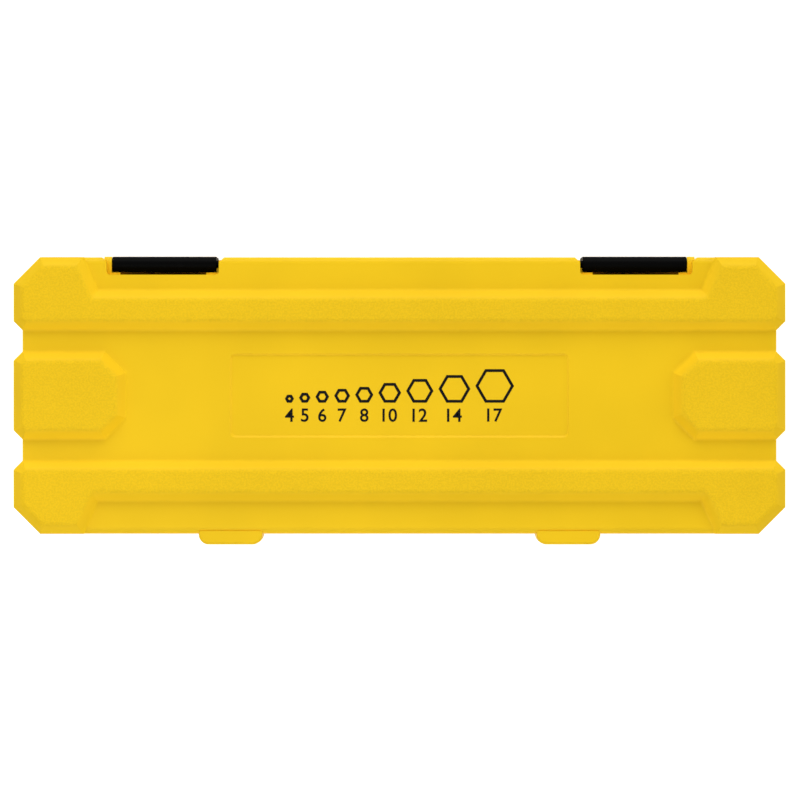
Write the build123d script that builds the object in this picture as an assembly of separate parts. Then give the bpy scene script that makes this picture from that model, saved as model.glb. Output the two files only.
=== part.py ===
from build123d import *
import os
from math import cos, radians, sin, tan

os.makedirs("parts", exist_ok=True)

# A set of hex bit sockets in its carrying case, in millimetres, with +Z up.
# The case lies closed on its base, its length along X, its latches towards -Y and its hinges towards +Y.
# The pieces are drawn about the middle of the case and moved to the set's own origin when they are written.

# Case: two thin moulded shells that meet at the parting plane
case_length = 290.0
case_width = 104.0
base_height = 23.0
lid_height = 23.0
wall = 2.2
corner_cut = 10.0
corner_round = 3.0
strip_round = 2.5

# Raised rails and pads, with sides at 45 degrees: panels on the lid, feet under the base
relief = 3.4
edge_soft = 3.0
outer_edge_soft = 0.8
foot_soft = 1.0
rail_inner = 24.5
rail_outer = 39.7
corner_pad_length = 26.1
corner_pad_flare = 5.5
end_pad_length = 42.3
end_pad_half_width = 16.5
end_pad_cut = 8.0
end_notch_depth = 3.4

# Shallow recess for a label in the middle of the lid
label_length = 127.4
label_width = 31.6
label_depth = 0.55
label_corner = 2.0

# Tongue round the base's rim, which the lid's rabbet closes over
tongue_thickness = 1.0
tongue_height = 1.4
tongue_side_gap = 0.1
tongue_top_gap = 0.3

# Two hinges on the rear wall, each a lid knuckle between two base knuckles on a steel pin
hinge_from_end = 81.5
hinge_width = 24.0
lid_knuckle_width = 12.0
knuckle_gap = 0.2
knuckle_radius = 2.4
knuckle_pocket_gap = 0.25
hinge_axis_out = 2.1
hinge_pad_gap = 0.3
hinge_open_gap = 0.2
hinge_pad_round = 1.0
pin_radius = 1.0
pin_length = 22.0
pin_fit = 0.02
pin_running_gap = 0.06

# Two latches in notches of the front wall, each on trunnions in the lid
latch_from_end = 56.4
latch_width = 39.0
latch_inner_gap = 1.2
latch_outer_gap = 2.0
latch_lug_gap = 0.3
latch_rib_length = 4.9
latch_notch_depth = 6.6
latch_notch_round = 1.3
latch_mouth_bevel = 2.0
latch_pivot_above_parting = 13.0
latch_pivot_behind_face = 2.5
latch_barrel_radius = 2.9
latch_thickness = 2.2
latch_reach = 23.5
latch_end_round = 1.0
latch_tip_round = 0.9
grip_groove_count = 3
grip_groove_pitch = 2.2
grip_groove_depth = 0.6
grip_groove_from_end = 2.4
trunnion_radius = 1.4
trunnion_bite = 1.9
trunnion_gap = 0.08
trunnion_boss_length = 3.0
trunnion_boss_depth = 7.5

# Catch on the base and hook on the latch, which bites under it
catch_below_parting = 2.5
catch_rise = 3.0
catch_slope_drop = 1.2
catch_reach = 3.8
hook_gap = 0.3
hook_height = 2.5
hook_bite = 1.6

# Bit sockets for a half inch square drive: hex size, and the body's diameter for it
bit_sizes = (4.0, 5.0, 6.0, 7.0, 8.0, 10.0, 12.0, 14.0, 17.0)
slim_body_diameter = 22.0
middle_body_diameter = 24.0
wide_body_diameter = 25.0
slim_body_up_to = 10.0
middle_body_up_to = 14.0
body_length = 38.0
bit_reach = 37.0
bit_seat = 14.0
bit_fit = 0.02
bit_tip_chamfer = 0.6
nose_wall = 4.0
nose_shoulder = 0.8
nose_cone_length = 12.0
body_chamfer = 0.8
band_depth = 0.4
band_from_end = 6.0
band_length = 13.0
drive_square = 12.8
drive_depth = 15.5
drive_chamfer = 0.8
detent_from_end = 7.0
detent_width = 3.0
detent_depth = 1.1

# Foam tray with straight-walled pockets, which the sockets lie in up to their axes
socket_from_case_end = 16.9
tray_wall_gap = 0.3
tray_land_below_parting = 3.0
pocket_gap = 0.3
pocket_end_gap = 0.4
bit_slot_gap = 0.6
drive_end_from_middle = 42.0
finger_trough_width = 26.0
finger_trough_depth = 10.5
finger_trough_overrun = 4.0

# Two points nearer to each other than this count as one place
same_place = 0.01

# Levels and lines that follow from the sizes above
parting = base_height
case_height = base_height + lid_height
front_face = -case_width / 2
rear_face = case_width / 2
hinge_from_middle = case_length / 2 - hinge_from_end
hinge_axis_y = rear_face + hinge_axis_out
hinge_reach = hinge_axis_out + knuckle_radius
hinge_pad_reach = 2 * hinge_axis_out - hinge_open_gap
latch_from_middle = case_length / 2 - latch_from_end
latch_pivot_y = front_face + latch_pivot_behind_face
latch_pivot_z = parting + latch_pivot_above_parting
latch_proud = latch_barrel_radius - latch_pivot_behind_face
latch_notch_floor = front_face + latch_notch_depth
catch_underside = parting - catch_below_parting - catch_rise
tray_land = parting - tray_land_below_parting
inner_floor = relief + wall
origin_shift = (latch_proud - hinge_reach) / 2


# Case shells

def end_notch(side_x, side_y):
    """The step in a short end, between its middle pad and the end of a rail, with flanks at 45 degrees."""
    end = case_length / 2
    floor = end - end_notch_depth
    beyond = end + end_notch_depth
    half = [
        (floor, end_pad_half_width),
        (floor, rail_inner),
        (beyond, rail_inner + 2 * end_notch_depth),
        (beyond, end_pad_half_width - 2 * end_notch_depth),
    ]
    return Polygon(*[(side_x * x, side_y * y) for x, y in half], align=None)


def latch_notch_edges():
    """The inner and the outer side of the latch notch on +X, as distances from the case's middle."""
    inner = latch_from_middle - latch_width / 2 - latch_inner_gap
    outer = latch_from_middle + latch_width / 2 + latch_outer_gap
    return inner, outer


def latch_notch(side_x):
    """The notch in the front wall for a latch, with its mouth bevelled."""
    inner, outer = latch_notch_edges()
    bevel = latch_mouth_bevel
    half = [
        (inner, latch_notch_floor),
        (outer, latch_notch_floor),
        (outer, front_face + bevel),
        (outer + 2 * bevel, front_face - bevel),
        (inner - 2 * bevel, front_face - bevel),
        (inner, front_face + bevel),
    ]
    return Polygon(*[(side_x * x, y) for x, y in half], align=None)


def case_plan():
    """The case seen from above: cut corners, a step each side of the end pads and the latch notches."""
    plan = Rectangle(case_length, case_width)
    plan = chamfer(plan.vertices(), corner_cut)
    for side_x in (-1, 1):
        plan -= latch_notch(side_x)
        for side_y in (-1, 1):
            plan -= end_notch(side_x, side_y)
    return plan


def inset_plan(inset):
    return offset(case_plan(), amount=-inset, kind=Kind.INTERSECTION)


def soft_plan():
    """The case plan with its corners rounded, which trims every outer face."""
    plan = case_plan()
    notch_corners = [v for v in plan.vertices() if abs(v.Y - latch_notch_floor) < same_place]
    plan = fillet(notch_corners, latch_notch_round)
    nearest_x = case_length / 2 - corner_cut - same_place
    nearest_y = case_width / 2 - corner_cut - same_place
    cut_corners = [v for v in plan.vertices() if abs(v.X) > nearest_x and abs(v.Y) > nearest_y]
    return fillet(cut_corners, corner_round)


def rail_foot():
    """Foot of the rear rail and its two corner pads, following the case's corners and end notches."""
    end = case_length / 2
    outer = case_width / 2
    half = [
        (end - end_notch_depth, rail_inner),
        (end, rail_inner + end_notch_depth),
        (end, outer - corner_cut),
        (end - corner_cut, outer),
        (end - corner_pad_length, outer),
        (end - corner_pad_length - corner_pad_flare, rail_outer),
    ]
    return Polygon(*half, *[(-x, y) for x, y in reversed(half)], align=None)


def end_pad_foot():
    """Foot of the pad in the middle of the short end on +X."""
    end = case_length / 2
    inner = end - end_pad_length
    half = [
        (end, end_pad_half_width - end_notch_depth),
        (end - end_notch_depth, end_pad_half_width),
        (inner + end_pad_cut, end_pad_half_width),
        (inner, end_pad_half_width - end_pad_cut),
    ]
    return Polygon(*half, *[(x, -y) for x, y in reversed(half)], align=None)


def on_every_panel(make, level):
    """What make builds on the rear rail and on one end pad, with their mirror images."""
    rail = make(rail_foot(), level)
    pad = make(end_pad_foot(), level)
    return [rail, mirror(rail, about=Plane.XZ), pad, mirror(pad, about=Plane.YZ)]


def raised_panel(foot, level):
    """A rail or pad on the recessed level: upright root, 45 degree sides and a softened top edge."""
    root = extrude(foot, relief + strip_round)
    sloped = extrude(foot, relief, taper=45)
    top_edges = [edge for edge in sloped.edges() if abs(edge.center().Z - relief) < same_place]
    sloped = fillet(top_edges, edge_soft)
    root_bottom = level - relief - strip_round
    panel = Pos(0, 0, root_bottom) * root + Pos(0, 0, level) * sloped
    panel &= extrude(soft_plan(), level + relief)
    panel = fillet(edges_on_outline(panel, level), outer_edge_soft)
    return panel + panel_flare(foot, level)


def edges_on_outline(panel, level):
    """The edges at the recessed level where a panel's slope meets the case's outer wall."""
    outline = soft_plan().faces()[0].outer_wire()
    found = []
    for edge in panel.edges():
        start, middle, end = [edge.position_at(share) for share in (0, 0.5, 1)]
        is_level = max(abs(start.Z - level), abs(end.Z - level)) < same_place
        if is_level and outline.distance_to(Vector(middle.X, middle.Y, 0)) < same_place:
            found.append(edge)
    return found


def panel_flare(foot, level):
    """The flatter band that eases a panel's slope into the recessed level, inside the case's own slope."""
    spread = foot_soft * tan(radians(22.5))
    flare_foot = offset(foot, amount=spread, kind=Kind.INTERSECTION)
    flare = extrude(flare_foot, foot_soft * tan(radians(22.5)) * sin(radians(45)), taper=67.5)
    flare &= extrude(case_plan(), relief, taper=45)
    return Pos(0, 0, level) * flare


def panel_hollow(foot, level):
    """The space inside a rail or pad, a wall's thickness from each of its faces."""
    side_inset = wall / cos(radians(45)) - wall
    mouth = offset(foot, amount=-side_inset, kind=Kind.INTERSECTION)
    throat = Pos(0, 0, level - 2 * wall) * extrude(mouth, wall)
    return throat + Pos(0, 0, level - wall) * extrude(mouth, relief, taper=45)


def strip_rounding(side_y, level):
    """What is cut away to round the long top edge of the strip along the front or rear."""
    centre_y = side_y * (case_width / 2 - strip_round)
    centre_z = level - strip_round
    corner = Pos(centre_y + side_y * strip_round, centre_z + strip_round)
    square = corner * Rectangle(2 * strip_round, 2 * strip_round)
    bar = square - Pos(centre_y, centre_z) * Circle(strip_round)
    length = case_length - 2 * corner_cut
    return extrude(Plane.YZ * bar, length / 2, both=True)


def half_case(height):
    """One hollow half of the case, open below, with its rim at zero and its panels on top."""
    level = height - relief
    shell = extrude(soft_plan(), level)
    for side in (-1, 1):
        shell -= strip_rounding(side, level)
    for panel in on_every_panel(raised_panel, level):
        shell += panel
    inside = extrude(inset_plan(wall), height)
    shell -= extrude(inset_plan(wall), level - wall)
    for hollow in on_every_panel(panel_hollow, level):
        shell -= hollow & inside
    return shell


def label_recess():
    corner_rounded = RectangleRounded(label_length, label_width, label_corner)
    bottom = case_height - relief - label_depth
    return Pos(0, 0, bottom) * extrude(corner_rounded, 2 * label_depth)


def rim_rabbet():
    """The step inside the lid's rim that the base's tongue stands in."""
    step = inset_plan(wall - tongue_thickness - tongue_side_gap)
    return Pos(0, 0, parting) * extrude(step, tongue_height + tongue_top_gap)


def rim_tongue():
    outer = extrude(inset_plan(wall - tongue_thickness), wall + tongue_height)
    inner = extrude(inset_plan(wall), wall + tongue_height)
    return Pos(0, 0, parting - wall) * (outer - inner)


# Hinges

def cylinder_along_x(radius, start, end, y, z):
    return Pos((start + end) / 2, y, z) * Rot(0, 90, 0) * Cylinder(radius, end - start)


def base_knuckle_spans(hinge_x):
    """The two stretches of X that a hinge's base knuckles take."""
    near = lid_knuckle_width / 2 + knuckle_gap
    far = hinge_width / 2
    return [(hinge_x - far, hinge_x - near), (hinge_x + near, hinge_x + far)]


def lid_knuckle_span(hinge_x):
    return (hinge_x - lid_knuckle_width / 2, hinge_x + lid_knuckle_width / 2)


def knuckle(span, up):
    """A knuckle and the web that ties it to its own shell, up to the lid's pad or into the base's wall."""
    inside_wall = -hinge_axis_out - tongue_thickness / 2
    if up:
        web = [(inside_wall, 0), (hinge_pad_reach - hinge_axis_out, knuckle_radius + 2 * hinge_pad_gap)]
    else:
        web = [(inside_wall, -knuckle_radius), (0, 0)]
    (low_y, low_z), (high_y, high_z) = web
    block = Pos((low_y + high_y) / 2, (low_z + high_z) / 2) * Rectangle(high_y - low_y, high_z - low_z)
    profile = Circle(knuckle_radius) + block
    placed = Plane((span[0], hinge_axis_y, parting), x_dir=(0, 1, 0), z_dir=(1, 0, 0)) * profile
    return extrude(placed, span[1] - span[0], dir=(1, 0, 0))


def hinge_plan(hinge_x, reach):
    """A hinge seen from above, as far out from the rear face as its reach, its outer corners fully rounded."""
    plan = Rectangle(hinge_width, 2 * reach)
    outer_corners = plan.vertices().group_by(Axis.Y)[-1]
    plan = fillet(outer_corners, reach - knuckle_gap)
    return Pos(hinge_x, rear_face, 0) * extrude(plan, case_height)


def hinge_pad(hinge_x):
    """The thickened part of the lid's rear wall over a hinge, clear of the base's knuckles below it."""
    bottom = parting + knuckle_radius + hinge_pad_gap
    top = case_height - relief
    depth = hinge_pad_reach + wall / 2
    middle_y = rear_face + hinge_pad_reach - depth / 2
    block = Pos(hinge_x, middle_y, (bottom + top) / 2) * Box(hinge_width, depth, top - bottom)
    pad = block & hinge_plan(hinge_x, hinge_pad_reach)
    top_edges = pad.edges().group_by(Axis.Z)[-1].sort_by(Axis.Y)
    return fillet(top_edges[1:], hinge_pad_round)


def pin_bore(hinge_x, gap):
    reach = hinge_width / 2
    return cylinder_along_x(pin_radius + gap, hinge_x - reach, hinge_x + reach, hinge_axis_y, parting)


def add_knuckles(shell, hinge_x, own_spans, other_spans, up, bore_gap):
    """A shell with its knuckles of one hinge, and pockets in its wall for the other shell's."""
    pocket_radius = knuckle_radius + knuckle_pocket_gap
    for start, end in other_spans:
        ends = (start - knuckle_gap, end + knuckle_gap)
        shell -= cylinder_along_x(pocket_radius, *ends, hinge_axis_y, parting)
    for span in own_spans:
        shell += knuckle(span, up) & hinge_plan(hinge_x, hinge_reach)
    return shell - pin_bore(hinge_x, bore_gap)


def hinge_pin(hinge_x):
    half = pin_length / 2
    return cylinder_along_x(pin_radius, hinge_x - half, hinge_x + half, hinge_axis_y, parting)


# Latches

def trunnion_boss(side_x, edge_x, away):
    """A block behind a side of the latch notch, inside the lid, that a trunnion's hole is sunk in."""
    ceiling = case_height - relief - wall
    bottom = latch_pivot_z - trunnion_boss_depth / 2
    height = ceiling + wall / 2 - bottom
    depth = latch_notch_depth - wall / 2
    length = wall + trunnion_boss_length
    middle_x = side_x * (edge_x + away * length / 2)
    middle_y = front_face + wall / 2 + depth / 2
    return Pos(middle_x, middle_y, bottom + height / 2) * Box(length, depth, height)


def trunnion_span():
    """The ends of a latch's trunnions on +X, as distances from the case's middle."""
    inner, outer = latch_notch_edges()
    return inner - trunnion_bite, outer + trunnion_bite


def trunnion_bar(side_x, radius, end_gap):
    inner, outer = trunnion_span()
    ends = sorted((side_x * (inner - end_gap), side_x * (outer + end_gap)))
    return cylinder_along_x(radius, ends[0], ends[1], latch_pivot_y, latch_pivot_z)


def latch_lug(side_x):
    """The lug beside a latch's barrel, which fills the outer gap of the notch back to its floor."""
    barrel_end = latch_from_middle + latch_width / 2
    ends = sorted((side_x * (barrel_end + latch_lug_gap), side_x * (barrel_end + latch_outer_gap + wall / 2)))
    lug = cylinder_along_x(latch_barrel_radius, *ends, latch_pivot_y, latch_pivot_z)
    depth = latch_notch_floor + wall / 2 - latch_pivot_y
    middle = Pos((ends[0] + ends[1]) / 2, latch_pivot_y + depth / 2, latch_pivot_z)
    return lug + middle * Box(ends[1] - ends[0], depth, 2 * latch_barrel_radius)


def latch_rib(side_x, edge_x, inward):
    """A rib on the notch floor behind one end of the barrel, which keeps the latch from tipping in."""
    depth = latch_notch_floor + wall / 2 - (latch_pivot_y + latch_barrel_radius + latch_lug_gap)
    middle_x = side_x * (edge_x + inward * (latch_rib_length - wall) / 2)
    middle_y = latch_notch_floor + wall / 2 - depth / 2
    rib = Box(latch_rib_length + wall, depth, 2 * latch_barrel_radius)
    return Pos(middle_x, middle_y, latch_pivot_z) * rib


def add_latch_pivots(shell):
    inner, outer = latch_notch_edges()
    for side_x in (-1, 1):
        shell += trunnion_boss(side_x, inner, -1)
        shell += trunnion_boss(side_x, outer, 1)
        shell += latch_lug(side_x) + latch_rib(side_x, inner, 1) + latch_rib(side_x, outer, -1)
        shell -= trunnion_bar(side_x, trunnion_radius + trunnion_gap, trunnion_gap)
    return shell


def catch(side_x):
    """The ledge across the notch that a latch hooks under, with a sloped top to ride over."""
    inner, outer = latch_notch_edges()
    reach = latch_notch_floor - catch_reach
    root = latch_notch_floor + wall / 2
    profile = Polygon(
        (root, catch_underside),
        (reach, catch_underside),
        (reach, catch_underside + catch_rise - catch_slope_drop),
        (latch_notch_floor, catch_underside + catch_rise),
        (root, catch_underside + catch_rise),
        align=None,
    )
    bar = extrude(Plane.YZ * profile, (outer - inner + wall) / 2, both=True)
    return Pos(side_x * (inner + outer) / 2, 0, 0) * bar


def latch_plate():
    """Side view of a latch: round barrel, flat plate, hook and grip grooves, as a bar along X."""
    face = latch_pivot_y - latch_barrel_radius
    back = face + latch_thickness
    end = latch_pivot_z - latch_reach
    plate = Pos((face + back) / 2, (latch_pivot_z + end) / 2) * Rectangle(latch_thickness, latch_reach)
    tip_corners = plate.vertices().group_by(Axis.Y)[0]
    plate = fillet(tip_corners, latch_tip_round)
    barrel = Pos(latch_pivot_y, latch_pivot_z) * Circle(latch_barrel_radius)
    hook_top = catch_underside - hook_gap
    hook_tip = latch_notch_floor - catch_reach + hook_bite
    hook = Polygon(
        (face + latch_thickness / 2, hook_top),
        (hook_tip, hook_top),
        (hook_tip, hook_top - hook_height / 2),
        (back, hook_top - hook_height),
        (face + latch_thickness / 2, hook_top - hook_height),
        align=None,
    )
    profile = plate + barrel + hook
    groove_side = grip_groove_depth / sin(radians(45))
    for index in range(grip_groove_count):
        groove_z = end + grip_groove_from_end + index * grip_groove_pitch
        profile -= Pos(face, groove_z) * Rot(0, 0, 45) * Rectangle(groove_side, groove_side)
    return extrude(Plane.YZ * profile, latch_width / 2, both=True)


def latch(side_x):
    """A latch in its closed place, with a trunnion at each end of its barrel."""
    plate = latch_plate()
    face = latch_pivot_y - latch_barrel_radius
    end = latch_pivot_z - latch_reach
    window = Rectangle(latch_width, latch_reach + 2 * latch_barrel_radius)
    window = fillet(window.vertices().group_by(Axis.Y)[0], 3 * latch_end_round)
    window_z = end + window.bounding_box().size.Y / 2
    front_view = extrude(Plane.XZ * window, latch_thickness + 2 * latch_barrel_radius)
    front_view = Pos(0, front_view.bounding_box().size.Y + face - latch_end_round, window_z) * front_view
    body = Pos(side_x * latch_from_middle, 0, 0) * (plate & front_view)
    return body + trunnion_bar(side_x, trunnion_radius, 0)


def base_shell():
    shell = mirror(half_case(base_height), about=Plane.XY)
    shell = Pos(0, 0, parting) * shell
    shell += rim_tongue()
    for side in (-1, 1):
        shell += catch(side)
        hinge_x = side * hinge_from_middle
        own = base_knuckle_spans(hinge_x)
        other = [lid_knuckle_span(hinge_x)]
        shell = add_knuckles(shell, hinge_x, own, other, False, pin_fit)
    return shell


def lid_shell():
    shell = Pos(0, 0, parting) * half_case(lid_height)
    shell -= label_recess()
    shell -= rim_rabbet()
    shell = add_latch_pivots(shell)
    for side in (-1, 1):
        hinge_x = side * hinge_from_middle
        shell += hinge_pad(hinge_x)
        own = [lid_knuckle_span(hinge_x)]
        other = base_knuckle_spans(hinge_x)
        shell = add_knuckles(shell, hinge_x, own, other, True, pin_running_gap)
    return shell


# Bit sockets

def body_diameter(size):
    if size <= slim_body_up_to:
        return slim_body_diameter
    if size <= middle_body_up_to:
        return middle_body_diameter
    return wide_body_diameter


def corner_radius(size):
    """Distance from a hexagon's middle to its corners, from its size across flats."""
    return size / 2 / cos(radians(30))


def socket_places():
    """Each size with the middle of its socket along X, with the same gap between all the bodies."""
    row_length = case_length - 2 * socket_from_case_end
    bodies_length = sum(body_diameter(size) for size in bit_sizes)
    gap = (row_length - bodies_length) / (len(bit_sizes) - 1)
    places = []
    edge = -row_length / 2
    for size in bit_sizes:
        width = body_diameter(size)
        places.append((size, edge + width / 2))
        edge += width + gap
    return places


def lying(solid, x):
    """Turns a piece drawn along Z from the nose to the drive end to lie along Y in its pocket."""
    nose_y = drive_end_from_middle - body_length
    return Pos(x, nose_y, tray_land) * Rot(-90, 0, 0) * solid


def body_blank(size):
    """The turned outside of a socket body: a cone at the nose, and a barrel with a shallow grip band."""
    radius = body_diameter(size) / 2
    nose = min(corner_radius(size) + nose_wall, radius - nose_shoulder)
    band_radius = radius - band_depth
    band_end = body_length - band_from_end
    outline = Polygon(
        (0, 0),
        (nose, 0),
        (radius, nose_cone_length),
        (radius, band_end - band_length),
        (band_radius, band_end - band_length),
        (band_radius, band_end),
        (radius, band_end),
        (radius, body_length - body_chamfer),
        (radius - body_chamfer, body_length),
        (0, body_length),
        align=None,
    )
    return revolve(Plane.XZ * outline, Axis.Z)


def drive_recess():
    """The square hole for the ratchet, with a bevelled mouth and the groove its ball snaps into."""
    bottom = body_length - drive_depth
    hole = Pos(0, 0, bottom) * extrude(Rectangle(drive_square, drive_square), drive_depth)
    mouth_size = drive_square + 2 * drive_chamfer
    mouth = extrude(Rectangle(mouth_size, mouth_size), -drive_chamfer, taper=45)
    groove = Cylinder(drive_square / 2 + detent_depth, detent_width)
    hole += Pos(0, 0, body_length) * mouth
    return hole + Pos(0, 0, body_length - detent_from_end) * groove


def socket_body(size, x):
    blank = body_blank(size) - drive_recess()
    blank -= extrude(hexagon(size + 2 * bit_fit), bit_seat)
    return lying(blank, x)


def hexagon(across_flats):
    return RegularPolygon(corner_radius(across_flats), 6)


def hex_bit(size, x):
    """A hexagonal bar from its seat in the socket body to a bevelled tip."""
    bar = extrude(hexagon(size), bit_reach + bit_seat)
    bar = chamfer(bar.faces().sort_by(Axis.Z)[0].edges(), bit_tip_chamfer)
    return lying(Pos(0, 0, -bit_reach) * bar, x)


# Tray

def tray_plan():
    """The tray seen from above: a rectangle clear of the latch notches and end steps, inside the walls."""
    gap = wall + tray_wall_gap
    half_length = case_length / 2 - end_notch_depth - gap
    front = latch_notch_floor + gap
    rear = rear_face - gap
    return Pos(0, (front + rear) / 2) * Rectangle(2 * half_length, rear - front) & inset_plan(gap)


def pocket(x, half_width, start_y, end_y, depth):
    """A straight-walled pocket sunk in the tray's land, drawn as high again above it."""
    size_y = end_y - start_y
    return Pos(x, start_y + size_y / 2, tray_land) * Box(2 * half_width, size_y, 2 * depth)


def socket_pocket(size, x):
    """The pocket for a socket's body, and the slot for its bit, as deep as the finger trough."""
    nose_y = drive_end_from_middle - body_length
    half_body = body_diameter(size) / 2 + pocket_gap
    body_room = pocket(x, half_body, nose_y, drive_end_from_middle + pocket_end_gap, half_body)
    tip_y = nose_y - bit_reach - bit_slot_gap
    slot = pocket(x, corner_radius(size) + bit_slot_gap, tip_y, nose_y, finger_trough_depth)
    return body_room + slot


def finger_trough():
    """The channel in front of the bodies that leaves room for a finger under each bit."""
    places = socket_places()
    half = (places[-1][1] - places[0][1] + wide_body_diameter) / 2 + finger_trough_overrun
    nose_y = drive_end_from_middle - body_length
    return pocket(0, half, nose_y - finger_trough_width, nose_y, finger_trough_depth)


def socket_tray():
    """A foam block on the case's floor, its land at the sockets' axes."""
    tray = Pos(0, 0, inner_floor) * extrude(tray_plan(), tray_land - inner_floor)
    for size, x in socket_places():
        tray -= socket_pocket(size, x)
    return tray - finger_trough()


# Writing

def write(name, solid):
    export_step(Pos(0, origin_shift, 0) * solid, "parts/" + name + ".step")


write("base_shell", base_shell())
write("lid_shell", lid_shell())
write("socket_tray", socket_tray())
for side_name, side in (("left", -1), ("right", 1)):
    write(side_name + "_hinge_pin", hinge_pin(side * hinge_from_middle))
    write(side_name + "_latch", latch(side))
for bit_size, socket_x in socket_places():
    label = format(bit_size, "02.0f") + "mm"
    write("socket_body_" + label, socket_body(bit_size, socket_x))
    write("hex_bit_" + label, hex_bit(bit_size, socket_x))
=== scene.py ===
"""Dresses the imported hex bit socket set: mouldings, latches, foam tray, sockets, prints and a plain stage."""

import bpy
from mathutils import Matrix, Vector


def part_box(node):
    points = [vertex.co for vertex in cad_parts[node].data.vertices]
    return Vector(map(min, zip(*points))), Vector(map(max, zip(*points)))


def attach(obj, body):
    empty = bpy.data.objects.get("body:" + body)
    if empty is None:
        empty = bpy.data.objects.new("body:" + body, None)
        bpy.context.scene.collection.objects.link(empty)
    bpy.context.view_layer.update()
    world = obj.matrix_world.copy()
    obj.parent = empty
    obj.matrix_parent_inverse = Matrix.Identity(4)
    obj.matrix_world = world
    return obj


bl_info = {
    "name": "Hex bit socket set",
    "version": (1, 0, 0),
    "blender": (4, 5, 0),
    "location": "3D View > Sidebar > Socket set",
    "description": "Finishes a hex bit socket set in its carrying case and sets a plain stage for it",
    "category": "Object",
}

import math

import bmesh
import bpy
import numpy as np
from bpy.props import FloatProperty, FloatVectorProperty, PointerProperty
from mathutils import Vector

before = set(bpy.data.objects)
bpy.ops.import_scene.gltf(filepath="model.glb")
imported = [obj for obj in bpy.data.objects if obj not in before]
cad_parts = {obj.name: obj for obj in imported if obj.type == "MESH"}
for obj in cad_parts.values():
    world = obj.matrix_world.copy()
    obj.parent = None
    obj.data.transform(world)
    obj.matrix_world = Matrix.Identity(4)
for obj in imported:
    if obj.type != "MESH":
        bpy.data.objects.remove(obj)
MM = 0.001
BIT_SIZES = (4, 5, 6, 7, 8, 10, 12, 14, 17)
SIDES = ("left", "right")


# Shader maths

class Wire:
    """One output of a node. Arithmetic on wires adds Math nodes, so shader maths reads as expressions."""

    def __init__(self, tree, socket=None):
        self.tree = tree
        self.socket = socket

    def node(self, kind, settings, sockets, output=0):
        """Adds a node: its settings first, then the values or links of its sockets."""
        made = self.tree.nodes.new(kind)
        for key, value in settings.items():
            setattr(made, key, value)
        for key, value in sockets.items():
            if isinstance(value, Wire):
                self.tree.links.new(value.socket, made.inputs[key])
            else:
                made.inputs[key].default_value = value
        return Wire(self.tree, made.outputs[output] if len(made.outputs) else None)

    def math(self, operation, *values):
        return self.node("ShaderNodeMath", {"operation": operation}, dict(enumerate(values)))

    def __add__(self, other):
        return self.math("ADD", self, other)

    def __sub__(self, other):
        return self.math("SUBTRACT", self, other)

    def __rsub__(self, other):
        return self.math("SUBTRACT", other, self)

    def __mul__(self, other):
        return self.math("MULTIPLY", self, other)

    __radd__ = __add__
    __rmul__ = __mul__

    def size(self):
        return self.math("ABSOLUTE", self)

    def smooth(self, low, high):
        """0 where the wire is at low, 1 where it is at high, and an even S-curve between."""
        settings = {"interpolation_type": "SMOOTHSTEP"}
        return self.node("ShaderNodeMapRange", settings, {"Value": self, "From Min": low, "From Max": high})


class Finish:
    """A material being made: its surface coordinates, noises and colour mixes, and the shader at the end."""

    def __init__(self, name):
        self.material = bpy.data.materials.new(name)
        self.material.use_nodes = True
        self.tree = self.material.node_tree
        self.tree.nodes.clear()
        self.start = Wire(self.tree)
        self.place = self.start.node("ShaderNodeTexCoord", {}, {}, "Object")

    def parts(self, vector):
        """The X, Y and Z of a vector as three wires."""
        split = self.start.node("ShaderNodeSeparateXYZ", {}, {"Vector": vector})
        outputs = split.socket.node.outputs
        return [Wire(self.tree, outputs[name]) for name in "XYZ"]

    def axes(self):
        """The Object coordinates as three wires, in metres."""
        return self.parts(self.place)

    def upright(self):
        """1 on faces that stand upright at rest and 0 on level ones."""
        normal = self.start.node("ShaderNodeTexCoord", {}, {}, "Normal")
        return 1 - self.parts(normal)[2].size()

    def stretched(self, factors):
        """The Object coordinates multiplied by a factor on each axis."""
        settings = {"operation": "MULTIPLY"}
        return self.start.node("ShaderNodeVectorMath", settings, {0: self.place, 1: factors})

    def noise(self, size, detail, roughness, place=None):
        """Noise from 0 to 1 whose lumps are about size metres across."""
        sockets = {"Vector": place or self.place, "Scale": 1 / size, "Detail": detail, "Roughness": roughness}
        return self.start.node("ShaderNodeTexNoise", {}, sockets)

    def cells(self, size):
        """Distance from the middle of the nearest cell, where cells are about size metres across."""
        return self.start.node("ShaderNodeTexVoronoi", {}, {"Vector": self.place, "Scale": 1 / size})

    def mix(self, factor, first, second):
        """The first colour where the factor is 0 and the second where it is 1."""
        first_input, second_input, colour_output = 6, 7, 2
        sockets = {"Factor": factor, first_input: first, second_input: second}
        return self.start.node("ShaderNodeMix", {"data_type": "RGBA"}, sockets, colour_output)

    def bump(self, height, depth, strength, normal=None):
        """A normal bent by a height, of which a change of 1 stands for depth metres."""
        sockets = {"Height": height, "Distance": depth, "Strength": strength}
        if normal:
            sockets["Normal"] = normal
        return self.start.node("ShaderNodeBump", {}, sockets)

    def shade(self, **sockets):
        """Ends the material in a Principled shader, its sockets named with underscores for spaces."""
        named = {key.replace("_", " "): value for key, value in sockets.items()}
        shader = self.start.node("ShaderNodeBsdfPrincipled", {}, named)
        self.start.node("ShaderNodeOutputMaterial", {}, {"Surface": shader})
        return self.material


def lighter(colour, factor):
    """A colour with its three parts multiplied, as a list that a colour socket takes."""
    return [min(part * factor, 1.0) for part in colour[:3]] + [1.0]


# Meshes

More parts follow.
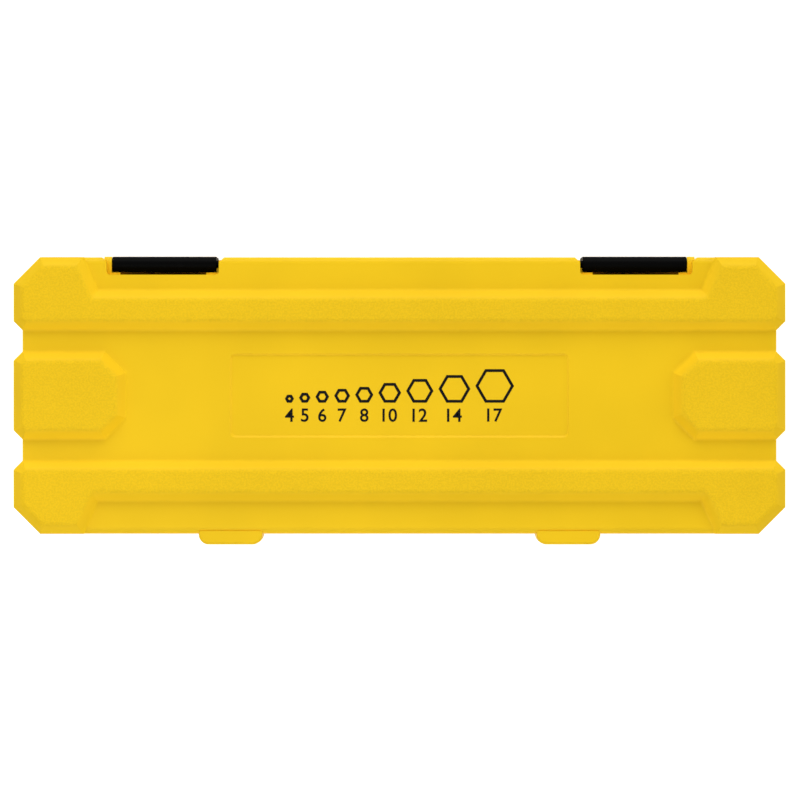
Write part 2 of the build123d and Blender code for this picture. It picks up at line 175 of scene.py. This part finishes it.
def add_piece(name, points, faces, body, slot, finish):
    """A flat shaded mesh piece that rides on a CAD body. Its slot argument is not used."""
    mesh = bpy.data.meshes.new(name)
    mesh.from_pydata(points.tolist(), [], faces)
    mesh.validate()
    mesh.shade_flat()
    mesh.materials.append(finish)
    piece = bpy.data.objects.new(name, mesh)
    bpy.context.scene.collection.objects.link(piece)
    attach(piece, body)


def dress(node, finish):
    """Gives a CAD node its finish and leaves its mesh as it is."""
    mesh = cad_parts[node].data
    mesh.materials.clear()
    mesh.materials.append(finish)


def swept_ring(profile, path, centre):
    """A closed profile of (outward, upward) pairs carried round a closed path of points and directions.

    Point (i, j) is centre + path_i + outward_j * direction_i + upward_j * Z, for every i of the path
    and j of the profile, and each cell of the grid is one quad, with both ends of the grid joined.
    """
    points, directions = path
    outward = profile[:, 0][None, :, None] * directions[:, None, :]
    upward = profile[:, 1][None, :, None] * np.array([0.0, 0.0, 1.0])
    grid = np.asarray(centre) + points[:, None, :] + outward + upward
    count, across = grid.shape[:2]
    i, j = np.meshgrid(np.arange(count), np.arange(across), indexing="ij")
    next_i, next_j = (i + 1) % count, (j + 1) % across
    quads = np.stack([i * across + j, next_i * across + j, next_i * across + next_j, i * across + next_j], -1)
    return grid.reshape(-1, 3), quads.reshape(-1, 4).tolist()


def hexagon_path(across_flats):
    """The six corners of a flat hexagon, each with the direction that keeps an offset's sides parallel.

    Corner k is at angle 60k degrees and radius across_flats / (2 cos 30), and its direction is as long
    as 1 / cos 30, so that an offset of one moves each side by one.
    """
    angles = np.radians(60 * np.arange(6))
    rays = np.stack([np.cos(angles), np.sin(angles), np.zeros(6)], 1) / math.cos(math.radians(30))
    return rays * across_flats / 2, rays


def rounded_path(length, width, corner, steps):
    """A rectangle with round corners as points, each with its outward direction.

    Corner k has steps + 1 points at angles from 90k to 90k + 90 degrees round its own middle, which lies
    one radius inside both sides.
    """
    turns = np.radians(90 * np.arange(4)[:, None] + 90 * np.arange(steps + 1) / steps).ravel()
    rays = np.stack([np.cos(turns), np.sin(turns), np.zeros(turns.size)], 1)
    signs = np.repeat([(1, 1, 0), (-1, 1, 0), (-1, -1, 0), (1, -1, 0)], steps + 1, axis=0)
    middles = signs * np.array([length / 2 - corner, width / 2 - corner, 0.0])
    return middles + rays * corner, rays


def joined(parts):
    """Several (points, faces) pairs as one, where faces may have three, four or more corners."""
    points, faces, offset = [], [], 0
    for part_points, part_faces in parts:
        points.append(part_points)
        faces.extend([[corner + offset for corner in face] for face in part_faces])
        offset += len(part_points)
    return np.concatenate(points), faces


def number_slab(text, height, thickness):
    """A plain number as a thin closed slab on the XY plane, its middle at the origin.

    The font's outline is widened a little and drawn out to one unit of depth. The slab is then scaled to
    the height of the digits and to its thickness.
    """
    widening, half_depth = 0.012, 0.5
    curve = bpy.data.curves.new("number", "FONT")
    curve.body = text
    curve.offset = widening
    curve.extrude = half_depth
    holder = bpy.data.objects.new("number", curve)
    bpy.context.scene.collection.objects.link(holder)
    mesh = bpy.data.meshes.new_from_object(holder.evaluated_get(bpy.context.evaluated_depsgraph_get()))
    points = np.empty(len(mesh.vertices) * 3)
    mesh.vertices.foreach_get("co", points)
    points = points.reshape(-1, 3)
    faces = [list(polygon.vertices) for polygon in mesh.polygons]
    bpy.data.objects.remove(holder)
    bpy.data.curves.remove(curve)
    bpy.data.meshes.remove(mesh)
    low, high = points.min(0), points.max(0)
    points -= (low + high) / 2
    scale = height / (high[1] - low[1])
    return points * np.array([scale, scale, thickness]), faces


# Sizes and colours that a user would change

def colour_property(name, description, default):
    return FloatVectorProperty(
        name=name, description=description, default=default, subtype="COLOR", size=4, min=0.0, max=1.0
    )


def length_property(name, description, default):
    return FloatProperty(name=name, description=description, default=default, unit="LENGTH", min=0.0)


def angle_property(name, description, degrees):
    return FloatProperty(name=name, description=description, default=math.radians(degrees), subtype="ANGLE")


def share_property(name, description, default):
    return FloatProperty(
        name=name, description=description, default=default, min=0.0, max=2.0, subtype="FACTOR"
    )


class CaseLook(bpy.types.PropertyGroup):
    yellow: colour_property("Yellow", "Colour of the two case shells", (0.90, 0.575, 0.014, 1.0))
    latch_black: colour_property("Latch black", "Colour of the two latches", (0.001, 0.001, 0.001, 1.0))
    print_black: colour_property("Print black", "Colour of the print on the lid", (0.004, 0.004, 0.004, 1.0))
    pin_steel: colour_property("Pin steel", "Colour of the two hinge pins", (0.55, 0.55, 0.56, 1.0))
    relief: length_property("Relief", "Height of the rails and pads above the recessed level", 3.4 * MM)
    grain_size: length_property("Grain size", "Width of the grains on the raised panels", 0.72 * MM)
    # Painted shadow: the dark line along the parting stands in for the shade in the gap between the shells.
    seam_width: length_property("Seam width", "Half width of the dark line where the shells meet", 0.3 * MM)
    label_length: length_property("Label length", "Length of the label recess", 127.4 * MM)
    label_width: length_property("Label width", "Width of the label recess", 31.6 * MM)
    label_corner: length_property("Label corner", "Corner radius of the label recess", 2.0 * MM)
    label_depth: length_property("Label depth", "Depth of the label recess", 0.55 * MM)
    label_slope: length_property("Label slope", "Width of the slope round the recess's floor", 0.75 * MM)
    print_thickness: length_property("Print thickness", "Thickness of the printed ink", 0.06 * MM)
    hexagon_scale: share_property("Hexagon scale", "Printed hexagon's share of its bit's size", 0.74)
    hexagon_gap: length_property("Hexagon gap", "Space between two printed hexagons", 1.9 * MM)
    stroke: length_property("Stroke", "Width of a printed hexagon's line", 1.05 * MM)
    digit_height: length_property("Digit height", "Height of the printed numbers", 5.0 * MM)
    number_gap: length_property("Number gap", "Space between the hexagons and the numbers", 2.2 * MM)


class TrayLook(bpy.types.PropertyGroup):
    foam: colour_property("Foam", "Colour of the foam tray", (0.014, 0.014, 0.015, 1.0))
    numbers: colour_property("Numbers", "Colour of the size numbers on the foam", (0.62, 0.62, 0.60, 1.0))
    digit_height: length_property("Digit height", "Height of the numbers in front of the bits", 4.6 * MM)
    number_gap: length_property("Number gap", "Space between a bit's tip and its number", 1.4 * MM)
    ink_thickness: length_property("Ink thickness", "Thickness of the numbers", 0.12 * MM)


class SocketLook(bpy.types.PropertyGroup):
    chrome: colour_property("Chrome", "Colour of the socket bodies", (0.52, 0.53, 0.55, 1.0))
    bit_steel: colour_property("Bit steel", "Colour of the hexagonal bits", (0.13, 0.13, 0.135, 1.0))
    etching: colour_property("Etching", "Colour of the size numbers on the bodies", (0.05, 0.05, 0.05, 1.0))
    knurl_pitch: length_property("Knurl pitch", "Distance from one knurl point to the next", 1.25 * MM)
    knurl_height: length_property("Knurl height", "Height of the knurl's points", 0.34 * MM)
    knurl_clearance: length_property("Knurl clearance", "Space at each end of the knurl", 0.15 * MM)
    digit_height: length_property("Digit height", "Height of the etched numbers", 4.2 * MM)
    etching_thickness: length_property("Etching thickness", "Thickness of the etched numbers", 0.06 * MM)
    band_depth: length_property("Band depth", "Depth of the band that holds the knurl", 0.4 * MM)
    band_from_end: length_property("Band from end", "Distance from the drive end to the band", 6.0 * MM)
    band_length: length_property("Band length", "Length of the band along the body", 13.0 * MM)
    cone_length: length_property("Cone length", "Length of the cone at the nose", 12.0 * MM)


class StageLook(bpy.types.PropertyGroup):
    camera_height: length_property("Camera height", "Distance from the lid to the camera", 1.5)
    picture_width: length_property("Picture width", "Width of the picture at the lid's top", 299.9 * MM)
    floor_reach: length_property("Floor reach", "Distance from the middle to the floor's sides", 2.0)
    floor_drop: length_property("Floor drop", "Depth of the floor below the feet", 0.05 * MM)
    floor_white: colour_property("Floor", "Colour of the floor", (0.80, 0.80, 0.80, 1.0))
    floor_glow: share_property("Floor glow", "Extra brightness of the floor as the camera sees it", 0.66)
    room_level: share_property("Room light", "Light that comes evenly from all round", 0.05)
    front_light: share_property("Front light", "Light of the lamp towards the latches", 0.90)
    rear_light: share_property("Rear light", "Light of the lamp towards the hinges", 0.40)
    right_light: share_property("Right light", "Light of the lamp on the right", 0.22)
    left_light: share_property("Left light", "Light of the lamp on the left", 0.39)
    top_light: share_property("Top light", "Light of the near lamp high above the right rear corner", 0.33)
    lamp_width: length_property("Lamp width", "Width of each low lamp", 2.5)
    lamp_height: length_property("Lamp height", "Height of each low lamp", 1.3)
    top_width: length_property("Top lamp width", "Width of the high lamp, which is square", 0.5)
    lamp_distance: length_property("Lamp distance", "Distance from the set to each low lamp", 2.5)
    top_distance: length_property("Top lamp distance", "Distance from the set to the high lamp", 0.8)
    lamp_angle: angle_property("Lamp angle", "Height of the low lamps as an angle", 25)
    top_angle: angle_property("Top lamp angle", "Height of the high lamp as an angle", 64)
    top_turn: angle_property("Top lamp turn", "Direction of the high lamp, from right to rear", 58)


# Finishes

def parting_height():
    """The level where the two shells meet, midway between the base's highest and the lid's lowest point."""
    return (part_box("base_shell")[1].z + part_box("lid_shell")[0].z) / 2


def yellow_case_finish(look):
    """Moulded yellow plastic: satin recesses, a spark grain on the raised panels and a painted shadow along the
    parting seam.

    The grain is full to a small depth below the lid's top and above the feet's soles, and gone further in.
    """
    finish = Finish("yellow_case")
    lid_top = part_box("lid_shell")[1].z
    full_grain, no_grain = 0.05 * MM, 0.8 * MM
    pore_size, speck_size, flow_size, cloud_size = look.grain_size / 2.5, 1.6 * MM, 9 * MM, 45 * MM
    grain_depth, flow_depth = 0.33 * MM, 0.02 * MM
    spark_share, speck_share, seam_shadow_share = 0.4, 0.10, 0.85
    z = finish.axes()[2]
    raised = z.smooth(lid_top - no_grain, lid_top - full_grain) + z.smooth(no_grain, full_grain)
    grains = finish.noise(look.grain_size, detail=3.0, roughness=0.62)
    pores = finish.noise(pore_size, detail=2.0, roughness=0.5)
    cloud = finish.noise(cloud_size, detail=2.0, roughness=0.5)
    speck = finish.noise(speck_size, detail=4.0, roughness=0.65).smooth(0.66, 0.76)
    flow = finish.noise(flow_size, detail=3.0, roughness=0.5)
    tint = finish.mix(cloud.smooth(0.3, 0.7), lighter(look.yellow, 0.965), lighter(look.yellow, 1.02))
    sparks = finish.mix(grains.smooth(0.42, 0.58), lighter(look.yellow, 1.07), lighter(look.yellow, 0.89))
    tint = finish.mix(raised * spark_share, tint, sparks)
    tint = finish.mix(speck * speck_share, tint, lighter(look.yellow, 0.8))
    # Painted shadow: a dark line on upright faces at the parting level, where shade falls in the gap between
    # the shells.
    seam_shadow = (z - parting_height()).size().smooth(look.seam_width, look.seam_width * 0.3)
    tint = finish.mix(seam_shadow * finish.upright() * seam_shadow_share, tint, lighter(look.yellow, 0.12))
    grain_height = (grains * 0.7 + pores * 0.3 - 0.5) * raised
    skin = finish.bump(flow, flow_depth, strength=0.5)
    return finish.shade(
        Base_Color=tint,
        Roughness=0.34 + raised * 0.16 + flow * 0.06,
        Normal=finish.bump(grain_height, grain_depth, strength=0.9, normal=skin),
        Specular_IOR_Level=0.05,
    )


def latch_finish(look):
    """Black latch plastic with a fine even grain, a little greyer where fingers and edges rub."""
    finish = Finish("black_latch")
    grain_size, smear_size = 0.35 * MM, 6 * MM
    grain_depth = 0.05 * MM
    grain = finish.noise(grain_size, detail=2.0, roughness=0.6)
    rubbed = finish.noise(smear_size, detail=3.0, roughness=0.6).smooth(0.55, 0.8)
    return finish.shade(
        Base_Color=finish.mix(rubbed * 0.5, look.latch_black, lighter(look.latch_black, 3.0)),
        Roughness=0.42 + grain * 0.12 - rubbed * 0.1,
        Normal=finish.bump(grain, grain_depth, strength=0.6),
        Specular_IOR_Level=0.02,
    )


def foam_finish(look):
    """Closed-cell foam: a matte skin of fine cells with faint paler dust in it."""
    finish = Finish("tray_foam")
    cell_size, fine_size, dust_size = 0.55 * MM, 0.25 * MM, 12 * MM
    cell_depth = 0.12 * MM
    cells = finish.cells(cell_size)
    fine = finish.noise(fine_size, detail=2.0, roughness=0.6)
    dust = finish.noise(dust_size, detail=4.0, roughness=0.7).smooth(0.52, 0.78)
    return finish.shade(
        Base_Color=finish.mix(dust * 0.35 + fine * 0.15, look.foam, lighter(look.foam, 2.4)),
        Roughness=0.86 + fine * 0.08,
        Normal=finish.bump(cells * 0.7 + fine * 0.3, cell_depth, strength=0.8),
        Specular_IOR_Level=0.3,
    )


def steel_finish(name, colour, along, roughness, depth):
    """Drawn or turned steel: fine scratches stretched along one axis over a soft cloud of tone."""
    finish = Finish(name)
    scratch_width, cloud_size = 0.12 * MM, 7 * MM
    width_by_length = 0.04
    factors = [1.0, 1.0, 1.0]
    factors["XYZ".index(along)] = width_by_length
    scratches = finish.noise(scratch_width, detail=2.0, roughness=0.6, place=finish.stretched(factors))
    cloud = finish.noise(cloud_size, detail=3.0, roughness=0.6)
    return finish.shade(
        Base_Color=finish.mix(cloud.smooth(0.35, 0.7), lighter(colour, 0.93), lighter(colour, 1.04)),
        Metallic=1.0,
        Roughness=roughness + scratches * 0.12 + cloud * 0.05,
        Normal=finish.bump(scratches, depth, strength=0.5),
    )


def blasted_finish(look):
    """Dark bead blasted tool steel, brighter at the tips, which have rubbed in their pockets.

    A tip is fully worn a short way from its end and unworn a few millimetres on, along a ragged line.
    """
    finish = Finish("bit_steel")
    grit_size, stain_size = 0.18 * MM, 5 * MM
    grit_depth = 0.04 * MM
    unworn, fully_worn, ragged = 5 * MM, 1.5 * MM, 3 * MM
    grit = finish.noise(grit_size, detail=3.0, roughness=0.6)
    stain = finish.noise(stain_size, detail=4.0, roughness=0.6)
    tip_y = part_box(bit_node(BIT_SIZES[0]))[0].y
    worn = (finish.axes()[1] + stain * ragged).smooth(tip_y + unworn, tip_y + fully_worn)
    tint = finish.mix(stain.smooth(0.35, 0.7), look.bit_steel, lighter(look.bit_steel, 1.35))
    tint = finish.mix(worn * 0.55, tint, lighter(look.bit_steel, 2.6))
    return finish.shade(
        Base_Color=tint,
        Metallic=0.9,
        Roughness=0.42 + grit * 0.16 - worn * 0.1,
        Normal=finish.bump(grit, grit_depth, strength=0.7),
    )


def ink_finish(name, colour, roughness, gloss):
    """Thin printed or etched ink with a faint mottle."""
    finish = Finish(name)
    mottle_size, mottle_depth = 0.5 * MM, 0.01 * MM
    mottle = finish.noise(mottle_size, detail=2.0, roughness=0.5)
    return finish.shade(
        Base_Color=finish.mix(mottle * 0.4, colour, lighter(colour, 1.3)),
        Roughness=roughness + mottle * 0.08,
        Normal=finish.bump(mottle, mottle_depth, strength=0.5),
        Specular_IOR_Level=gloss,
    )


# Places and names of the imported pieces

def bit_node(size):
    return "hex_bit_%02dmm" % size


def socket_node(size):
    return "socket_body_%02dmm" % size


def case_middle_y():
    """The case's middle from front to rear, without the hinges: a wall and a gap lie behind the tray."""
    wall_and_gap = 2.5 * MM
    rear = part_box("socket_tray")[1].y + wall_and_gap
    return (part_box("base_shell")[0].y + rear) / 2


def label_floor_z(look):
    """The level of the label recess's floor."""
    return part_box("lid_shell")[1].z - look.relief - look.label_depth


# Operators, one for each piece or group of like pieces

class SOCKETSET_OT_case(bpy.types.Operator):
    """Finish the two case shells and the hinge pins"""

    bl_idname = "socketset.case"
    bl_label = "Case shells and hinge pins"

    def execute(self, context):
        look = context.scene.case_look
        yellow = yellow_case_finish(look)
        dress("base_shell", yellow)
        dress("lid_shell", yellow)
        self.add_label_slope(look, yellow)
        pin_steel = steel_finish("pin_steel", look.pin_steel, along="X", roughness=0.28, depth=0.01 * MM)
        for side in SIDES:
            dress(side + "_hinge_pin", pin_steel)
        return {"FINISHED"}

    def add_label_slope(self, look, yellow):
        """A slope round the floor of the label recess, from the floor up to the top of its walls."""
        sunk = 0.03 * MM
        corner_steps = 8
        top, foot = look.label_depth - sunk / 2, -look.label_slope
        profile = np.array([(sunk, -sunk), (sunk, top), (0, top), (foot, 0), (foot, -sunk)])
        path = rounded_path(look.label_length, look.label_width, look.label_corner, corner_steps)
        slope = swept_ring(profile, path, (0, case_middle_y(), label_floor_z(look)))
        add_piece("label_slope", *slope, "lid", "yellow_case", yellow)


class SOCKETSET_OT_print(bpy.types.Operator):
    """Print a row of plain hexagons and their sizes in the label recess"""

    bl_idname = "socketset.print"
    bl_label = "Print in the label recess"

    def execute(self, context):
        look = context.scene.case_look
        ink = ink_finish("print_ink", look.print_black, roughness=0.38, gloss=0.06)
        flats = [size * MM * look.hexagon_scale for size in BIT_SIZES]
        widths = [across / math.cos(math.radians(30)) for across in flats]
        block = flats[-1] + look.number_gap + look.digit_height
        foot_y = case_middle_y() - block / 2 + flats[-1]
        number_y = case_middle_y() + block / 2 - look.digit_height / 2
        half_ink = look.print_thickness / 2
        ink_z = label_floor_z(look) + half_ink
        profile = np.array([(-1, -1), (1, -1), (1, 1), (-1, 1)]) * np.array([look.stroke / 2, half_ink])
        # The print is turned half round, so it stands upright for a reader on the side of the hinges
        half_turn = np.array([-1.0, -1.0, 1.0])
        edge = (sum(widths) + look.hexagon_gap * (len(BIT_SIZES) - 1)) / 2
        hexagons = []
        numbers = []
        for size, across, width in zip(BIT_SIZES, flats, widths):
            x = edge - width / 2
            edge -= width + look.hexagon_gap
            path = hexagon_path(across - look.stroke)
            hexagons.append(swept_ring(profile, path, (x, foot_y - across / 2, ink_z)))
            points, faces = number_slab(str(size), look.digit_height, look.print_thickness)
            numbers.append((points * half_turn + np.array([x, number_y, ink_z]), faces))
        add_piece("printed_hexagons", *joined(hexagons), "lid", "black_latch", ink)
        add_piece("printed_numbers", *joined(numbers), "lid", "black_latch", ink)
        return {"FINISHED"}


class SOCKETSET_OT_latches(bpy.types.Operator):
    """Finish the two black latches"""

    bl_idname = "socketset.latches"
    bl_label = "Latches"

    def execute(self, context):
        black = latch_finish(context.scene.case_look)
        for side in SIDES:
            dress(side + "_latch", black)
        return {"FINISHED"}


class SOCKETSET_OT_tray(bpy.types.Operator):
    """Finish the foam tray and print a size number in front of each bit"""

    bl_idname = "socketset.tray"
    bl_label = "Foam tray and its numbers"

    def execute(self, context):
        look = context.scene.tray_look
        dress("socket_tray", foam_finish(look))
        white = ink_finish("tray_numbers", look.numbers, roughness=0.6, gloss=0.3)
        ink_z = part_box("socket_tray")[1].z + look.ink_thickness / 4
        numbers = []
        for size in BIT_SIZES:
            bit_low, bit_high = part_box(bit_node(size))
            x = (bit_low.x + bit_high.x) / 2
            y = bit_low.y - look.number_gap - look.digit_height / 2
            points, faces = number_slab(str(size), look.digit_height, look.ink_thickness)
            numbers.append((points + np.array([x, y, ink_z]), faces))
        add_piece("tray_numbers", *joined(numbers), "base", "tray_foam", white)
        return {"FINISHED"}


def knurl_band(radius, height, pitch, start_y, end_y, axis_x, axis_z):
    """A diamond knurl round a lying barrel, as a closed ring.

    Vertex (i, j) lies at angle 2 pi i / n and at start_y + j (end_y - start_y) / m. Its radius is the
    band's radius, plus the knurl's height where i + j is even. Each cell is cut along its two low
    corners, so every high corner is the point of a four-sided pyramid. One more ring of vertices at
    each end, a little below the band's radius, closes the band with a lining.
    """
    lining_depth = 0.1 * MM
    around = 2 * round(math.pi * radius / pitch)
    along = 2 * round((end_y - start_y) / pitch)
    i, j = np.meshgrid(np.arange(around), np.arange(along + 1), indexing="ij")
    high = ((i + j) % 2 == 0) & (j > 0) & (j < along)
    rings = radius + height * high
    sunk = np.full((around, 1), radius - lining_depth)
    rings = np.concatenate([sunk, rings, sunk], 1)
    ys = start_y + (end_y - start_y) * np.arange(along + 1) / along
    ys = np.concatenate([[start_y], ys, [end_y]])
    angles = 2 * math.pi * np.arange(around) / around
    x = axis_x + rings * np.cos(angles)[:, None]
    z = axis_z + rings * np.sin(angles)[:, None]
    points = np.stack([x, np.broadcast_to(ys, x.shape), z], -1).reshape(-1, 3)
    across = along + 3
    i, j = np.meshgrid(np.arange(around), np.arange(across - 1), indexing="ij")
    a = i * across + j
    b = ((i + 1) % around) * across + j
    c = b + 1
    d = a + 1
    low_first = ((i + j) % 2 == 0)[..., None]
    first = np.where(low_first, np.stack([a, d, c], -1), np.stack([a, d, b], -1))
    second = np.where(low_first, np.stack([a, c, b], -1), np.stack([b, d, c], -1))
    i = np.arange(around)
    start, end = i * across, i * across + across - 1
    next_start, next_end = ((i + 1) % around) * across, ((i + 1) % around) * across + across - 1
    lining = np.stack([start, next_start, next_end, end], -1)
    triangles = np.concatenate([first.reshape(-1, 3), second.reshape(-1, 3)])
    return points, triangles.tolist() + lining.tolist()


def wrapped(points, radius, axis_x, axis_z, y):
    """Flat points laid on a lying barrel: x becomes the angle x / radius, and z is added to the radius."""
    angle = points[:, 0] / radius
    reach = radius + points[:, 2]
    return np.stack([axis_x + reach * np.sin(angle), y + points[:, 1], axis_z + reach * np.cos(angle)], 1)


def sliced(points, faces, step):
    """A slab cut by planes across X every step metres, so that it can follow a curve."""
    work = bmesh.new()
    corners = [work.verts.new(point) for point in points]
    for face in faces:
        work.faces.new([corners[index] for index in face])
    count = int((points[:, 0].max() - points[:, 0].min()) / step) + 1
    for index in range(1, count):
        cut_x = points[:, 0].min() + index * step
        everything = list(work.verts) + list(work.edges) + list(work.faces)
        bmesh.ops.bisect_plane(work, geom=everything, plane_co=(cut_x, 0, 0), plane_no=(1, 0, 0))
    work.verts.index_update()
    cut_points = np.array([vertex.co[:] for vertex in work.verts])
    cut_faces = [[vertex.index for vertex in face.verts] for face in work.faces]
    work.free()
    return cut_points, cut_faces


class SOCKETSET_OT_sockets(bpy.types.Operator):
    """Finish the socket bodies, with a knurled band and an etched size on each"""

    bl_idname = "socketset.sockets"
    bl_label = "Socket bodies"

    def execute(self, context):
        look = context.scene.socket_look
        chrome = steel_finish("socket_chrome", look.chrome, along="X", roughness=0.16, depth=0.006 * MM)
        knurled = steel_finish("knurled_chrome", look.chrome, along="Y", roughness=0.24, depth=0.01 * MM)
        etching = ink_finish("etched_number", look.etching, roughness=0.5, gloss=0.4)
        slice_width = 0.4 * MM
        for size in BIT_SIZES:
            node = socket_node(size)
            body = "socket_%02dmm" % size
            dress(node, chrome)
            low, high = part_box(node)
            radius = (high.x - low.x) / 2
            axis_x, axis_z = (low.x + high.x) / 2, (low.z + high.z) / 2
            band_end = high.y - look.band_from_end
            band_start = band_end - look.band_length
            band = knurl_band(
                radius - look.band_depth, look.knurl_height, look.knurl_pitch,
                band_start + look.knurl_clearance, band_end - look.knurl_clearance, axis_x, axis_z,
            )
            add_piece("knurl_%02dmm" % size, *band, body, "socket_chrome", knurled)
            slab = number_slab(str(size), look.digit_height, look.etching_thickness)
            points, faces = sliced(*slab, slice_width)
            number_y = (low.y + look.cone_length + band_start) / 2
            points = wrapped(points, radius, axis_x, axis_z, number_y)
            add_piece("etched_size_%02dmm" % size, points, faces, body, "socket_chrome", etching)
        return {"FINISHED"}


class SOCKETSET_OT_bits(bpy.types.Operator):
    """Finish the hexagonal bits"""

    bl_idname = "socketset.bits"
    bl_label = "Hexagonal bits"

    def execute(self, context):
        blasted = blasted_finish(context.scene.socket_look)
        for size in BIT_SIZES:
            dress(bit_node(size), blasted)
        return {"FINISHED"}


def direction(turn, rise):
    """A direction turned from +X towards +Y and raised above the floor, both in radians."""
    level = math.cos(rise)
    return Vector((level * math.cos(turn), level * math.sin(turn), math.sin(rise)))


def area_light(name, place, width, height, share):
    """A soft rectangular lamp turned to the origin, with a share of the light that shows a colour as written.

    A lamp of P watts at a distance d gives that light P / (pi d) squared times on its axis.
    """
    lamp = bpy.data.lights.new(name, "AREA")
    lamp.shape = "RECTANGLE"
    lamp.size = width
    lamp.size_y = height
    lamp.energy = share * (math.pi * place.length) ** 2
    holder = bpy.data.objects.new(name, lamp)
    holder.location = place
    holder.rotation_euler = (-place).to_track_quat("-Z", "Y").to_euler()
    bpy.context.scene.collection.objects.link(holder)


def seen_ray(start):
    """1 for rays from the camera and for the reflected and transmitted ones that show the background."""
    camera_ray = start.node("ShaderNodeLightPath", {}, {}, "Is Camera Ray")
    rays = camera_ray.socket.node.outputs
    seen = camera_ray.math("MAXIMUM", camera_ray, Wire(start.tree, rays["Is Glossy Ray"]))
    return seen.math("MAXIMUM", seen, Wire(start.tree, rays["Is Transmission Ray"]))


def floor_finish(look):
    """A plain pale floor that looks white to the camera and in reflections, and keeps soft shadows."""
    made = bpy.data.materials.new("stage_floor")
    made.use_nodes = True
    tree = made.node_tree
    tree.nodes.clear()
    start = Wire(tree)
    matte = start.node("ShaderNodeBsdfDiffuse", {}, {"Color": look.floor_white})
    strength = seen_ray(start) * look.floor_glow
    glow = start.node("ShaderNodeEmission", {}, {"Color": (1.0, 1.0, 1.0, 1.0), "Strength": strength})
    both = start.node("ShaderNodeAddShader", {}, {0: matte, 1: glow})
    start.node("ShaderNodeOutputMaterial", {}, {"Surface": both})
    return made


class SOCKETSET_OT_stage(bpy.types.Operator):
    """Set a pale floor, soft light and a camera that looks straight down on the lid"""

    bl_idname = "socketset.stage"
    bl_label = "Stage"

    def execute(self, context):
        look = context.scene.stage_look
        self.add_floor(look)
        self.add_world(look)
        self.add_lamps(look)
        self.add_camera(look)
        context.scene.view_settings.view_transform = "Standard"
        return {"FINISHED"}

    def add_floor(self, look):
        reach, level = look.floor_reach, -look.floor_drop
        corners = [(x * reach, y * reach, level) for x, y in ((-1, -1), (1, -1), (1, 1), (-1, 1))]
        mesh = bpy.data.meshes.new("floor")
        mesh.from_pydata(corners, [], [(0, 1, 2, 3)])
        mesh.materials.append(floor_finish(look))
        floor = bpy.data.objects.new("floor", mesh)
        bpy.context.scene.collection.objects.link(floor)

    def add_world(self, look):
        world = bpy.data.worlds.new("soft_room")
        bpy.context.scene.world = world
        world.use_nodes = True
        tree = world.node_tree
        tree.nodes.clear()
        start = Wire(tree)
        level = seen_ray(start) * (1 - look.room_level) + look.room_level
        glow = start.node("ShaderNodeBackground", {}, {"Color": (1.0, 1.0, 1.0, 1.0), "Strength": level})
        start.node("ShaderNodeOutputWorld", {}, {"Surface": glow})

    def add_lamps(self, look):
        """Four wide lamps low round the set and a small one high above, each with its share of the light."""
        turns = {"right": 0.0, "rear": 90.0, "left": 180.0, "front": 270.0}
        for side, turn in turns.items():
            share = getattr(look, side + "_light")
            place = direction(math.radians(turn), look.lamp_angle) * look.lamp_distance
            area_light(side + "_lamp", place, look.lamp_width, look.lamp_height, share)
        place = direction(look.top_turn, look.top_angle) * look.top_distance
        area_light("top_lamp", place, look.top_width, look.top_width, look.top_light)

    def add_camera(self, look):
        """A camera over the lid, with the latches at the picture's top and the set nearly in its middle."""
        off_middle_x, off_middle_y = -0.2 * MM, -0.36 * MM
        nearest, farthest = 0.01, 20.0
        lens_data = bpy.data.cameras.new("camera")
        lens_data.lens = lens_data.sensor_width * look.camera_height / look.picture_width
        lens_data.clip_start = nearest
        lens_data.clip_end = farthest
        camera = bpy.data.objects.new("camera", lens_data)
        camera.location = (off_middle_x, off_middle_y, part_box("lid_shell")[1].z + look.camera_height)
        camera.rotation_euler = (0.0, 0.0, math.pi)
        bpy.context.scene.collection.objects.link(camera)
        bpy.context.scene.camera = camera


class SOCKETSET_PT_panel(bpy.types.Panel):
    """Lists the set's operators and their sizes and colours"""

    bl_idname = "SOCKETSET_PT_panel"
    bl_label = "Hex bit socket set"
    bl_space_type = "VIEW_3D"
    bl_region_type = "UI"
    bl_category = "Socket set"

    def draw(self, context):
        for operator in OPERATORS:
            self.layout.operator(operator.bl_idname)
        for name in LOOKS:
            look = getattr(context.scene, name)
            box = self.layout.box()
            for key in look.__annotations__:
                box.prop(look, key)


LOOKS = {
    "case_look": CaseLook,
    "tray_look": TrayLook,
    "socket_look": SocketLook,
    "stage_look": StageLook,
}
OPERATORS = (
    SOCKETSET_OT_case,
    SOCKETSET_OT_print,
    SOCKETSET_OT_latches,
    SOCKETSET_OT_tray,
    SOCKETSET_OT_sockets,
    SOCKETSET_OT_bits,
    SOCKETSET_OT_stage,
)
CLASSES = (*LOOKS.values(), *OPERATORS, SOCKETSET_PT_panel)


def register():
    for each in CLASSES:
        bpy.utils.register_class(each)
    for name, look in LOOKS.items():
        setattr(bpy.types.Scene, name, PointerProperty(type=look))


def unregister():
    for name in LOOKS:
        delattr(bpy.types.Scene, name)
    for each in reversed(CLASSES):
        bpy.utils.unregister_class(each)


def main():
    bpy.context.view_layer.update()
    register()
    bpy.ops.socketset.case()
    bpy.ops.socketset.print()
    bpy.ops.socketset.latches()
    bpy.ops.socketset.tray()
    bpy.ops.socketset.sockets()
    bpy.ops.socketset.bits()
    bpy.ops.socketset.stage()


if __name__ == "__main__":
    main()
